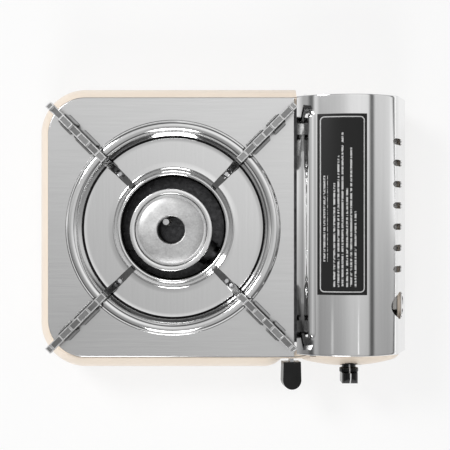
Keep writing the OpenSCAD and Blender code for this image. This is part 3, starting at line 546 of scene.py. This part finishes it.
def knob_black():
    """Gloss black with a light line along the top of the knob when it is off: a painted highlight."""
    f = Finish("knob_black", (0.006, 0.006, 0.0065), roughness=0.16, specular=0.3)
    place = f.split()
    # Painted highlight: a light line along the top of the knob
    line = f.math("COMPARE", place["X"], AXIS_X * MM, KNOB_LINE_HALF * MM)
    line = f.math("MULTIPLY", line, f.math("GREATER_THAN", place["Z"], KNOB_LINE_LOW * MM))
    line = f.math("MULTIPLY", line, f.math("LESS_THAN", place["Y"], KNOB_LINE_REAR * MM))
    noise_varied = f.math("MULTIPLY", line, f.math("MULTIPLY_ADD", f.noise(700, 2), 0.3, 0.75))
    f.colour(f.ramp(noise_varied, [(0, 0.006), (1, 0.7)]))
    f.roughness(f.math("MULTIPLY_ADD", f.noise(400, 4), 0.1, 0.11))
    f.bump(f.noise(60, 2), 0.05, 0.3)
    return f.material


def zinc_sheet():
    f = Finish("zinc_sheet", (0.6, 0.61, 0.62), metallic=1, roughness=0.35)
    spangle = f.nodes.new("ShaderNodeTexVoronoi")
    spangle.inputs["Scale"].default_value = 220
    f.links.new(f.place, spangle.inputs["Vector"])
    f.colour(f.ramp(spangle.outputs["Color"], [(0.1, (0.5, 0.51, 0.52)), (0.9, (0.66, 0.67, 0.69))]))
    f.roughness(f.math("MULTIPLY_ADD", f.noise(300, 3), 0.2, 0.27))
    f.bump(f.noise(500, 2), 0.06, 0.05)
    return f.material


def turned_metal(name, dark, bright):
    f = Finish(name, bright, metallic=1, roughness=0.28)
    f.colour(f.ramp(f.noise(260, 4), [(0.3, dark), (0.7, bright)]))
    f.roughness(f.math("MULTIPLY_ADD", f.noise(800, 2), 0.2, 0.2))
    f.bump(f.noise(1200, 2), 0.08, 0.04)
    return f.material


def matte(name, dark, bright, rough):
    f = Finish(name, bright, roughness=rough)
    f.colour(f.ramp(f.noise(180, 4), [(0.3, dark), (0.7, bright)]))
    f.roughness(f.math("MULTIPLY_ADD", f.noise(600, 3), 0.2, rough - 0.1))
    f.bump(f.noise(900, 3), 0.12, 0.06)
    return f.material


def label_print():
    """Black plate with a thin rounded line and rows of plain bars."""
    f = Finish("label_print", (0.011, 0.011, 0.012), roughness=0.36, specular=0.3)
    place = f.split(f.stretch((MM, MM, MM), (*LABEL_MIDDLE, 0)))
    away = past_rounded(f, place, LABEL_HALF, LABEL_CORNER)
    line = f.math("LESS_THAN", f.math("ABSOLUTE", away), LABEL_LINE)
    bars = 0.0
    for x, front, rear, half in LABEL_ROWS:
        across = f.math("COMPARE", place["X"], x - LABEL_MIDDLE[0], half)
        along = f.math("COMPARE", place["Y"], (front + rear) / 2 - LABEL_MIDDLE[1], (rear - front) / 2)
        bars = f.math("ADD", bars, f.math("MULTIPLY", across, along))
    broken = f.math("GREATER_THAN", f.noise(1000, 1, 0.5, f.stretch((4, 1.1, 1))), 0.44)
    print_share = f.math("MAXIMUM", line, f.math("MULTIPLY", bars, broken))
    noise_varied = f.math("MULTIPLY", print_share, f.math("MULTIPLY_ADD", f.noise(300, 3), 0.3, 0.6), clamp=True)
    f.colour(f.ramp(noise_varied, [(0, 0.008), (1, 0.75)]))
    f.roughness(f.math("MULTIPLY_ADD", f.noise(700, 3), 0.14, 0.3))
    f.bump(f.noise(900, 3), 0.06, 0.04)
    return f.material


PAINT = cream_paint()
PLATE = brushed_plate()
DISH_STEEL = mirror_sheet("dish_steel", 0.83, groove_shaded=True)
LID_STEEL = mirror_sheet("lid_steel", 0.83)
ARM = arm_nickel()
ARM_RIM_HIGHLIGHT = arm_rim_highlight()
RING = polished_ring()
CAP = cast_cap()
CAST = cast_body()
BLACK = gloss_black()
KNOB_BLACK = knob_black()
ZINC = zinc_sheet()
# Dark finish for the parts under the burner and the deck: painted shade
SHADE_DARK = turned_metal("painted_shade_dark", (0.06, 0.06, 0.062), (0.13, 0.13, 0.135))
BRASS = turned_metal("turned_brass", (0.55, 0.4, 0.16), (0.78, 0.6, 0.28))
SCREW = turned_metal("bright_zinc", (0.6, 0.6, 0.61), (0.8, 0.8, 0.81))
RUBBER = matte("black_rubber", (0.012, 0.012, 0.012), (0.03, 0.03, 0.03), 0.75)
CERAMIC = matte("glazed_ceramic", (0.78, 0.76, 0.7), (0.86, 0.85, 0.8), 0.3)
SLEEVE = matte("silicone_sleeve", (0.62, 0.58, 0.52), (0.72, 0.69, 0.63), 0.55)
LABEL = label_print()
WHITE = matte("marker_white", (0.8, 0.8, 0.8), (0.88, 0.88, 0.88), 0.5)

SLOT_FINISH = {
    "cream_paint": PAINT, "stainless_steel": PLATE, "lid_steel": LID_STEEL, "galvanised_steel": ZINC,
    "cast_aluminium": CAST, "polished_ring": RING, "cast_cap": CAP, "brass": BRASS,
    "screw_steel": SCREW, "black_rubber": RUBBER, "black_plastic": BLACK, "lead_silicone": SLEEVE,
    "ceramic": CERAMIC, "arm_chrome": ARM, "label_black": LABEL, "marker_white": WHITE,
}

# Nodes whose finish differs from their slot's: the liner is paler, and the parts under the burner and the
# deck take a dark finish, painted shade
# The liner's paler paint is painted light, so the shaded inside seen through the vents reads light
LINER = matte("pale_liner", (0.9, 0.88, 0.85), (0.97, 0.96, 0.94), 0.4)
SHADED_NODES = ("burner_shield", "burner_bracket", "bottom_pan", "bay_partition", "mixing_tube",
                "air_shutter", "gas_pipe", "pipe_nuts", "gas_jet")
slots = {row["node"]: row["material_slot"] for row in frame["record"]["subparts"]}
NODE_FINISH = {"cartridge_cradle": LINER, **{node: SHADE_DARK for node in SHADED_NODES}}
for node, obj in frame["nodes"].items():
    obj.data.materials.clear()
    obj.data.materials.append(NODE_FINISH.get(node, SLOT_FINISH[slots[node]]))

# ---- Sheet metal pieces ----


def tilt_from(points):
    """Unit normals along a profile, on its left-hand side as it is walked."""
    normals = []
    for i in range(len(points)):
        x0, z0 = points[max(i - 1, 0)]
        x1, z1 = points[min(i + 1, len(points) - 1)]
        length = math.hypot(x1 - x0, z1 - z0)
        normals.append((-(z1 - z0) / length, (x1 - x0) / length))
    return normals


def shaped_grid(columns, rows, place):
    """A grid whose vertices are moved to place(column, row), in millimetres."""
    deselect()
    bpy.ops.mesh.primitive_grid_add(x_subdivisions=columns - 1, y_subdivisions=rows - 1, size=1)
    obj = bpy.context.object
    for vertex in obj.data.vertices:
        column = round((vertex.co.x + 0.5) * (columns - 1))
        row = round((vertex.co.y + 0.5) * (rows - 1))
        vertex.co = Vector(place(column, row)) * MM
    place_in_mesh(obj)
    return obj


def face_up(obj):
    """Turns the faces of an open sheet so that most of them look up."""
    if sum(p.normal.z * p.area for p in obj.data.polygons) < 0:
        pick(obj)
        bpy.ops.object.mode_set(mode="EDIT")
        bpy.ops.mesh.select_all(action="SELECT")
        bpy.ops.mesh.flip_normals()
        bpy.ops.object.mode_set(mode="OBJECT")


def cut(obj, cutters):
    """Cuts the joined cutters out of a piece."""
    pick(cutters[0])
    for cutter in cutters[1:]:
        cutter.select_set(True)
    bpy.ops.object.join()
    tool = bpy.context.object
    apply_modifier(obj, "BOOLEAN", operation="DIFFERENCE", object=tool, solver="EXACT")
    bpy.data.objects.remove(tool)


def obround_cutter(x0, x1, y, z0, z1, width):
    """A cutter along X with a round-ended outline in Y and Z."""
    radius = width / 2
    deselect()
    bpy.ops.mesh.primitive_cylinder_add(vertices=32, radius=radius * MM, depth=(x1 - x0) * MM,
                                        rotation=(0, math.pi / 2, 0),
                                        location=((x0 + x1) / 2 * MM, y * MM, (z0 + z1) / 2 * MM))
    obj = bpy.context.object
    place_in_mesh(obj)
    stretch = (z1 - z0) / 2 - radius
    middle = (z0 + z1) / 2 * MM
    for vertex in obj.data.vertices:
        if vertex.co.z > middle + 1e-6:
            vertex.co.z += stretch * MM
        elif vertex.co.z < middle - 1e-6:
            vertex.co.z -= stretch * MM
    return obj


def lid_section():
    """Outline of the lid from its left hem over the crown to the foot of its right skirt: X and Z."""
    left_end = 90 + math.degrees(math.asin((CROWN_X - LID_LEFT) / LEFT_RADIUS))
    edge_z = LID_TOP - LEFT_RADIUS + LEFT_RADIUS * math.sin(math.radians(left_end))
    points = [(LID_LEFT, LID_HEM + (edge_z - LID_HEM) * i / HEM_STEPS) for i in range(HEM_STEPS)]
    points += arc(CROWN_X, LID_TOP - LEFT_RADIUS, LEFT_RADIUS, left_end, 90, 64)
    points += arc(CROWN_X, LID_TOP - CROWN_RADIUS, CROWN_RADIUS, 90, SHOULDER_TILT, 36)[1:]
    x, z = points[-1]
    turn = math.radians(SHOULDER_TILT)
    points += arc(x - SHOULDER_RADIUS * math.cos(turn), z - SHOULDER_RADIUS * math.sin(turn), SHOULDER_RADIUS,
                  SHOULDER_TILT, SKIRT_TILT, 8)[1:]
    x, z = points[-1]
    wide = LID_RIGHT - x
    high = wide / math.tan(math.radians(SKIRT_TILT))
    shares = [(i + 1) / SKIRT_STEPS for i in range(SKIRT_STEPS)]
    points += [(x + wide * share, z - high * share) for share in shares]
    return points


def bead_height(x, y):
    """Rise of the lid's bead above its skin."""
    along = min(max(y, BEAD_ENDS[0]), BEAD_ENDS[1])
    away = math.hypot(x - BEAD_X, y - along) / BEAD_HALF
    return BEAD_RISE * math.cos(away * math.pi / 2) ** 2 if away < 1 else 0


def lid_rows():
    """Rows of the lid from front to rear: Y, drop below the outer skin, and whether it is a cap's foot."""
    turns = [math.radians(90 * i / ROLL_STEPS) for i in range(ROLL_STEPS + 1)]
    front = [(LID_FRONT + ROLL * (1 - math.cos(t)), ROLL * (1 - math.sin(t)), False) for t in turns]
    rear = [(LID_REAR - ROLL * (1 - math.cos(t)), ROLL * (1 - math.sin(t)), False) for t in reversed(turns)]
    span = LID_REAR - LID_FRONT - 2 * ROLL
    middle = [(LID_FRONT + ROLL + span * i / LID_STEPS, 0, False) for i in range(1, LID_STEPS)]
    return [(LID_FRONT, ROLL, True)] + front + middle + rear + [(LID_REAR, ROLL, True)]


def lid_cutters():
    places = [VENT_START + i * VENT_PITCH for i in range(VENTS)]
    cutters = [obround_cutter(*HOLE_REACH, y, *VENT_HEIGHTS, VENT_WIDTH) for y in places]
    cutters.append(obround_cutter(*HOLE_REACH, FINGER_Y, *FINGER_HEIGHTS, FINGER_WIDTH))
    return cutters


def lid_shell():
    """Domed lid with a raised bead, rolled front and rear edges, vents and a finger hole."""
    section = lid_section()
    normals = tilt_from(section)
    rows = lid_rows()

    def place(column, row):
        (x, z), (nx, nz) = section[column], normals[column]
        y, drop, foot = rows[row]
        px, pz = x - nx * drop, z - nz * drop
        if foot:
            return px, y, min(pz, CAP_BOTTOM)
        return px, y, pz + bead_height(px, y)

    obj = shaped_grid(len(section), len(rows), place)
    clean(obj)
    face_up(obj)
    apply_modifier(obj, "SOLIDIFY", thickness=SHEET * MM, offset=-1)
    cut(obj, lid_cutters())
    smooth(obj, 40)
    finish_piece(obj, "lid", "lid", LID_STEEL, ["lid_shell"])


def turned_sheet(profile, centre, thickness, steps):
    """A dish of even thickness below an open profile."""
    obj = raised_rings(profile, centre, steps)
    face_up(obj)
    apply_modifier(obj, "SOLIDIFY", thickness=thickness * MM, offset=-1)
    smooth(obj, 50)
    return obj


def between(a, b, c, d, t):
    """Value at t on the smooth run from b to c, whose neighbours are a and d."""
    return 0.5 * (2 * b + (c - a) * t + (2 * a - 5 * b + 4 * c - d) * t ** 2
                  + (3 * b - a - 3 * c + d) * t ** 3)


def eased(points, steps):
    """A smooth run through a few driving points (Catmull-Rom)."""
    line = []
    for i in range(len(points) - 1):
        near = [points[min(max(j, 0), len(points) - 1)] for j in (i - 1, i, i + 1, i + 2)]
        for k in range(steps):
            line.append(tuple(between(*values, k / steps) for values in zip(*near)))
    return line + [points[-1]]


def drip_dish():
    """Round dish: rolled bead, curved wall, groove, flat floor and raised inner rim."""
    bead = arc(*BEAD_MIDDLE, BEAD_RADIUS, *BEAD_TURN, 24)
    profile = bead + eased(DISH_WALL, 4) + DISH_FLOOR + eased(DISH_MIDDLE, 4)
    obj = turned_sheet(profile, DISH, DISH_SHEET, 160)
    finish_piece(obj, "drip_dish", "pan_support", DISH_STEEL, ["drip_dish"])


def flame_ring():
    """Polished ring with an almost flat top and a row of flame ports."""
    edge_z = RING_TOP - RING_CROWN - RING_EDGE
    profile = [(RING_OUT, height) for height in (RING_FOOT, *RING_OUT_LOOPS)]
    profile += arc(RING_OUT - RING_EDGE, edge_z, RING_EDGE, 0, 80, 5)
    profile += [((RING_OUT + RING_IN) / 2, RING_TOP)]
    profile += arc(RING_IN + RING_EDGE, edge_z, RING_EDGE, 100, 180, 5)
    profile += [(RING_IN, RING_IN_LOOP), (RING_IN, RING_FOOT)]
    obj = turned(profile, BURNER, 144)
    cutters = []
    for i in range(PORTS):
        turn = math.radians(360 / PORTS * i)
        x = BURNER[0] + PORT_RADIUS * math.cos(turn)
        y = BURNER[1] + PORT_RADIUS * math.sin(turn)
        deselect()
        bpy.ops.mesh.primitive_cube_add(size=MM, rotation=(0, 0, turn),
                                        location=(x * MM, y * MM, PORT_HEIGHT * MM))
        cutter = bpy.context.object
        cutter.scale = PORT_SIZE
        place_in_mesh(cutter)
        cutters.append(cutter)
    cut(obj, cutters)
    smooth(obj, 40)
    finish_piece(obj, "flame_ring", "stove", RING, ["flame_ring"])


def burner_cap():
    """Cast cap with a groove round its top and an open well in the middle."""
    profile = CAP_SIDE + arc(*CAP_EDGE, 5) + CAP_TOP + arc(*CAP_LIP, 6) + CAP_WELL
    obj = turned(profile, BURNER, 128)
    finish_piece(obj, "burner_cap", "stove", CAP, ["burner_cap"])


def softened(name, node, body, material, width=0, segments=2):
    """A node's own shape with softened edges."""
    finish_piece(edge_copy(node, width, segments), name, body, material, [node])


def from_dish(point):
    """Distance of a point from the dish's axis, in millimetres."""
    return math.hypot(point.x / MM - DISH[0], point.y / MM - DISH[1])


def deck_plate():
    """Top plate with a rounded hem; the edge of its round hole stays as it is."""
    obj = edge_copy("top_plate")
    top = max(vertex.co.z for vertex in obj.data.vertices) - LEVEL * MM

    def on_hem(edge):
        ends = [obj.data.vertices[i].co for i in edge.vertices]
        return all(end.z > top and from_dish(end) > HEM_REACH for end in ends)

    edit_where(obj, "EDGE", on_hem)
    bpy.ops.mesh.bevel(offset=HEM_ROUND * MM, segments=4, affect="EDGES")
    bpy.ops.object.mode_set(mode="OBJECT")
    smooth(obj)
    keep_flats(obj)
    finish_piece(obj, "deck_plate", "stove", PLATE, ["top_plate"])


def on_arm_top(face):
    """Whether a face looks up from the top of a block or a step."""
    return face.normal.z > 0.95 and any(abs(face.center.z / MM - top) < 0.05 for top in (BLOCK_TOP, STEP_TOP))


def pan_arm(side):
    """Pan arm whose blocks and steps have a rim round a sunken panel; the rims take a lighter finish, a
    painted highlight.
    """
    node = "arm_" + side
    obj = edge_copy(node)
    edit_where(obj, "FACE", on_arm_top)
    bpy.ops.mesh.inset(thickness=FRAME_RIM * MM, use_individual=True)
    bpy.ops.mesh.inset(thickness=FRAME_SLOPE * MM, depth=-FRAME_DEPTH * MM, use_individual=True)
    bpy.ops.object.mode_set(mode="OBJECT")
    rims = [face.index for face in obj.data.polygons if on_arm_top(face)]
    smooth(obj)
    finish_piece(obj, "pan_arm_" + side, "pan_support", ARM, [node])
    # The rims take the lighter finish: a painted highlight
    obj.data.materials.append(ARM_RIM_HIGHLIGHT)
    for index in rims:
        obj.data.polygons[index].material_index = 1


def knob_skirt():
    """The knob's disc with the boss that goes into the body."""
    deselect()
    bpy.ops.mesh.primitive_cylinder_add(
        vertices=64, radius=BOSS_RADIUS * MM, depth=BOSS_LENGTH * MM, rotation=(math.pi / 2, 0, 0),
        location=(AXIS_X * MM, BOSS_MIDDLE * MM, AXIS_Z * MM))
    obj = bpy.context.object
    edit_where(obj, "FACE", lambda face: face.normal.z > 0.9)
    middle = (AXIS_X * MM, 0, AXIS_Z * MM)
    for grow, forward in ((DISC_RADIUS / BOSS_RADIUS, DISC_SHOULDER), (1, DISC_THICK)):
        bpy.ops.mesh.extrude_region_move(TRANSFORM_OT_translate={"value": (0, -forward * MM, 0)})
        bpy.ops.transform.resize(value=(grow, 1, grow), center_override=middle)
    bpy.ops.object.mode_set(mode="OBJECT")
    place_in_mesh(obj)
    round_edges(obj, DISC_ROUND, 3)
    finish_piece(obj, "knob_disc", "knob", KNOB_BLACK, ["knob_skirt"])


def lock_handle():
    """Black grip of the lock lever: square at the rear, round at the front."""
    tilt = math.radians(LEVER_TILT)
    nose = HANDLE_FRONT + HANDLE_HALF
    deselect()
    bpy.ops.mesh.primitive_cylinder_add(
        vertices=64, radius=HANDLE_HALF * MM, depth=HANDLE_THICK * MM, rotation=(0, tilt, 0),
        location=((AXIS_X - LEVER_RADIUS * math.cos(tilt)) * MM, nose * MM,
                  (AXIS_Z + LEVER_RADIUS * math.sin(tilt)) * MM))
    obj = bpy.context.object
    for vertex in obj.data.vertices:
        if vertex.co.y > 1e-6:
            vertex.co.y = (HANDLE_REAR - nose) * MM
            vertex.co.x *= HANDLE_TAPER
    place_in_mesh(obj)
    clean(obj)
    round_edges(obj, HANDLE_ROUND, 7)
    finish_piece(obj, "lock_handle", "lock_lever", BLACK, ["lever_handle"])


lid_shell()
drip_dish()
flame_ring()
burner_cap()
softened("body", "body_shell", "stove", PAINT)
deck_plate()
for side in ("rear_left", "rear_right", "front_left", "front_right"):
    pan_arm(side)
knob_skirt()
softened("knob", "knob_grip", "knob", KNOB_BLACK, GRIP_ROUND, segments=5)
lock_handle()

# ---- Studio ----

# The sky's brightness for a direction's lean along X and along Y. A lean is a share of a full turn that
# starts straight below: a quarter is the horizon towards minus, a half is overhead
SKY = {
    "X": [(0, 1.15), (0.25, 1.15), (0.285, 0.85), (0.31, 0.44), (0.332, 0.42), (0.342, 0.16),
          (0.354, 0.16), (0.364, 0.8), (0.373, 0.75), (0.382, 0.5), (0.41, 0.55), (0.465, 0.64),
          (0.48, 0.7), (0.51, 0.88), (0.55, 0.9), (0.592, 0.86), (0.604, 0.16), (0.615, 0.16),
          (0.627, 0.72), (0.68, 0.7), (0.705, 0.74), (0.75, 1.15), (1, 1.15)],
    "Y": [(0, 1.1), (0.25, 1.1), (0.285, 0.95), (0.315, 0.5), (0.33, 0.1), (0.362, 0.08),
          (0.383, 0.45), (0.43, 0.52), (0.47, 0.6), (0.484, 0.67), (0.5, 0.81), (0.516, 0.98),
          (0.55, 1.08), (0.59, 1.08), (0.615, 0.6), (0.632, 0.12), (0.662, 0.1), (0.682, 0.6),
          (0.71, 0.95), (0.75, 1.1), (1, 1.1)],
}
# Two bright slits nearly overhead, by the same leans: both places under X, the length under Y
SLITS = {
    "X": [(0.432, 0), (0.4345, 1), (0.4365, 1), (0.439, 0), (0.5405, 0), (0.5425, 1), (0.5435, 1),
          (0.5455, 0)],
    "Y": [(0.477, 0), (0.481, 1), (0.483, 1), (0.486, 0)],
}
SLIT_GAIN = 2


def studio_world():
    """Soft bands of tone and two bright slits, which the polished metal mirrors."""
    world = bpy.data.worlds.new("studio")
    bpy.context.scene.world = world
    sky = Shading(world, "Generated")
    lean = sky.split()
    shares = {}
    for axis in ("X", "Y"):
        tilt = sky.math("ARCTAN2", lean[axis], lean["Z"])
        shares[axis] = sky.math("MULTIPLY_ADD", tilt, 0.5 / math.pi, 0.5)
    product = sky.nodes.new("ShaderNodeMix")
    product.data_type = "RGBA"
    product.blend_type = "MULTIPLY"
    product.inputs["Factor"].default_value = 1
    sky.links.new(sky.ramp(shares["X"], SKY["X"]), product.inputs[6])
    sky.links.new(sky.ramp(shares["Y"], SKY["Y"]), product.inputs[7])
    background = sky.nodes["Background"].inputs
    sky.links.new(product.outputs[2], background["Color"])
    slits = sky.math("MULTIPLY", *[sky.ramp(shares[axis], SLITS[axis]) for axis in shares])
    sky.links.new(sky.math("MULTIPLY_ADD", slits, SLIT_GAIN, 1), background["Strength"])


# Floor: its side in metres, its gap under the feet, and the share of plain white in it that the camera
# and the metal see
FLOOR_SIDE = 8
FLOOR_GAP = 0.5
FLOOR_WHITE = 0.75


def studio_floor():
    """Plain pale floor that keeps the stove's shadow."""
    deselect()
    bpy.ops.mesh.primitive_plane_add(size=FLOOR_SIDE, location=(0, 0, -FLOOR_GAP * MM))
    floor = bpy.context.object
    floor.name = "studio_floor"
    f = Finish("floor_white", (0.93, 0.93, 0.93), roughness=0.7, specular=0.2)
    f.colour(f.ramp(f.noise(2, 2), [(0.3, 0.925), (0.7, 0.94)]))
    seen = f.nodes.new("ShaderNodeLightPath").outputs
    glow = f.nodes.new("ShaderNodeEmission")
    mix = f.nodes.new("ShaderNodeMixShader")
    share = f.math("MULTIPLY", f.math("MAXIMUM", seen["Is Camera Ray"], seen["Is Glossy Ray"]), FLOOR_WHITE)
    f.links.new(share, mix.inputs[0])
    f.links.new(f.shader.outputs[0], mix.inputs[1])
    f.links.new(glow.outputs[0], mix.inputs[2])
    f.links.new(mix.outputs[0], f.nodes["Material Output"].inputs["Surface"])
    floor.data.materials.append(f.material)


# Middle of the stove, at which the lamps look, in metres as their own places are
LAMP_AIM = (0, 0, 0.05)


def soft_box(name, place, size, power):
    lamp = bpy.data.lights.new(name, "AREA")
    lamp.shape = "SQUARE"
    lamp.size = size
    lamp.energy = power
    obj = bpy.data.objects.new(name, lamp)
    bpy.context.collection.objects.link(obj)
    obj.location = place
    obj.rotation_euler = (Vector(LAMP_AIM) - Vector(place)).to_track_quat("-Z", "Y").to_euler()


def studio_camera():
    data = bpy.data.cameras.new("camera")
    data.lens = LENS
    data.sensor_width = SENSOR
    data.clip_end = 50
    camera = bpy.data.objects.new("camera", data)
    bpy.context.collection.objects.link(camera)
    camera.location = (CAMERA_X * MM, CAMERA_Y * MM, CAMERA_Z * MM)
    bpy.context.scene.camera = camera


studio_world()
studio_floor()
soft_box("key_softbox", place=(-1.1, 0.9, 1.6), size=0.55, power=17)
soft_box("fill_softbox", place=(-0.15, -1.5, 1.3), size=0.7, power=12)
studio_camera()
bpy.context.scene.view_settings.view_transform = "Standard"
